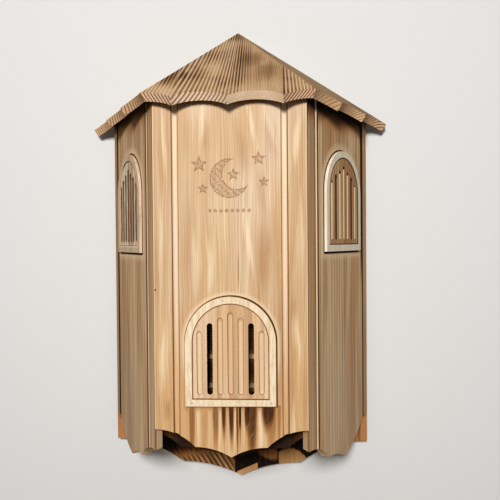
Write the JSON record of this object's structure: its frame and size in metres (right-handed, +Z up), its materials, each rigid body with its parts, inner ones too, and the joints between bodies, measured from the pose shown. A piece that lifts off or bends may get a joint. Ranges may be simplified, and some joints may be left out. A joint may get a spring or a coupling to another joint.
{
  "type": "bat house",
  "caption": "Wall-hung wooden bat house: half-hexagonal body open below, pitched scalloped roof, arched fluted grilles and inner roosting partitions.",
  "frame": {"origin": "on the rear face of the back board, midway across it, level with the feet of the side windows", "axes": "+Z up, +Y into the wall, -Y out of the front, +X to the right of someone facing the front"},
  "size_m": [0.3596, 0.1681, 0.5467],
  "materials": {
    "wall_wood": "torch-toned and brushed softwood, satin",
    "roof_wood": "deeply torched and brushed softwood with dark grain stripes",
    "plaque_wood": "pale milled hardwood, lightly toned",
    "inner_wood": "rough-sawn softwood, darker inside"
  },
  "bodies": {
    "root": {"back_board": "wall_wood", "front_panel": "wall_wood", "left_side_panel": "wall_wood", "right_side_panel": "wall_wood", "left_edge_strip": "wall_wood", "right_edge_strip": "wall_wood", "front_roof_panel": "roof_wood", "left_roof_panel": "roof_wood", "right_roof_panel": "roof_wood", "front_grille": "plaque_wood", "left_window": "plaque_wood", "right_window": "plaque_wood", "front_partition": "inner_wood", "middle_partition": "inner_wood", "rear_partition": "inner_wood", "front_rung_1": "inner_wood", "front_rung_2": "inner_wood", "front_rung_3": "inner_wood", "front_rung_4": "inner_wood", "front_rung_5": "inner_wood", "front_rung_6": "inner_wood", "front_rung_7": "inner_wood", "front_rung_8": "inner_wood", "front_rung_9": "inner_wood", "middle_rung_1": "inner_wood", "middle_rung_2": "inner_wood", "middle_rung_3": "inner_wood", "middle_rung_4": "inner_wood", "middle_rung_5": "inner_wood", "middle_rung_6": "inner_wood", "middle_rung_7": "inner_wood", "middle_rung_8": "inner_wood", "middle_rung_9": "inner_wood", "rear_rung_1": "inner_wood", "rear_rung_2": "inner_wood", "rear_rung_3": "inner_wood", "rear_rung_4": "inner_wood", "rear_rung_5": "inner_wood", "rear_rung_6": "inner_wood", "rear_rung_7": "inner_wood", "rear_rung_8": "inner_wood", "rear_rung_9": "inner_wood"}
  },
  "joints": []
}
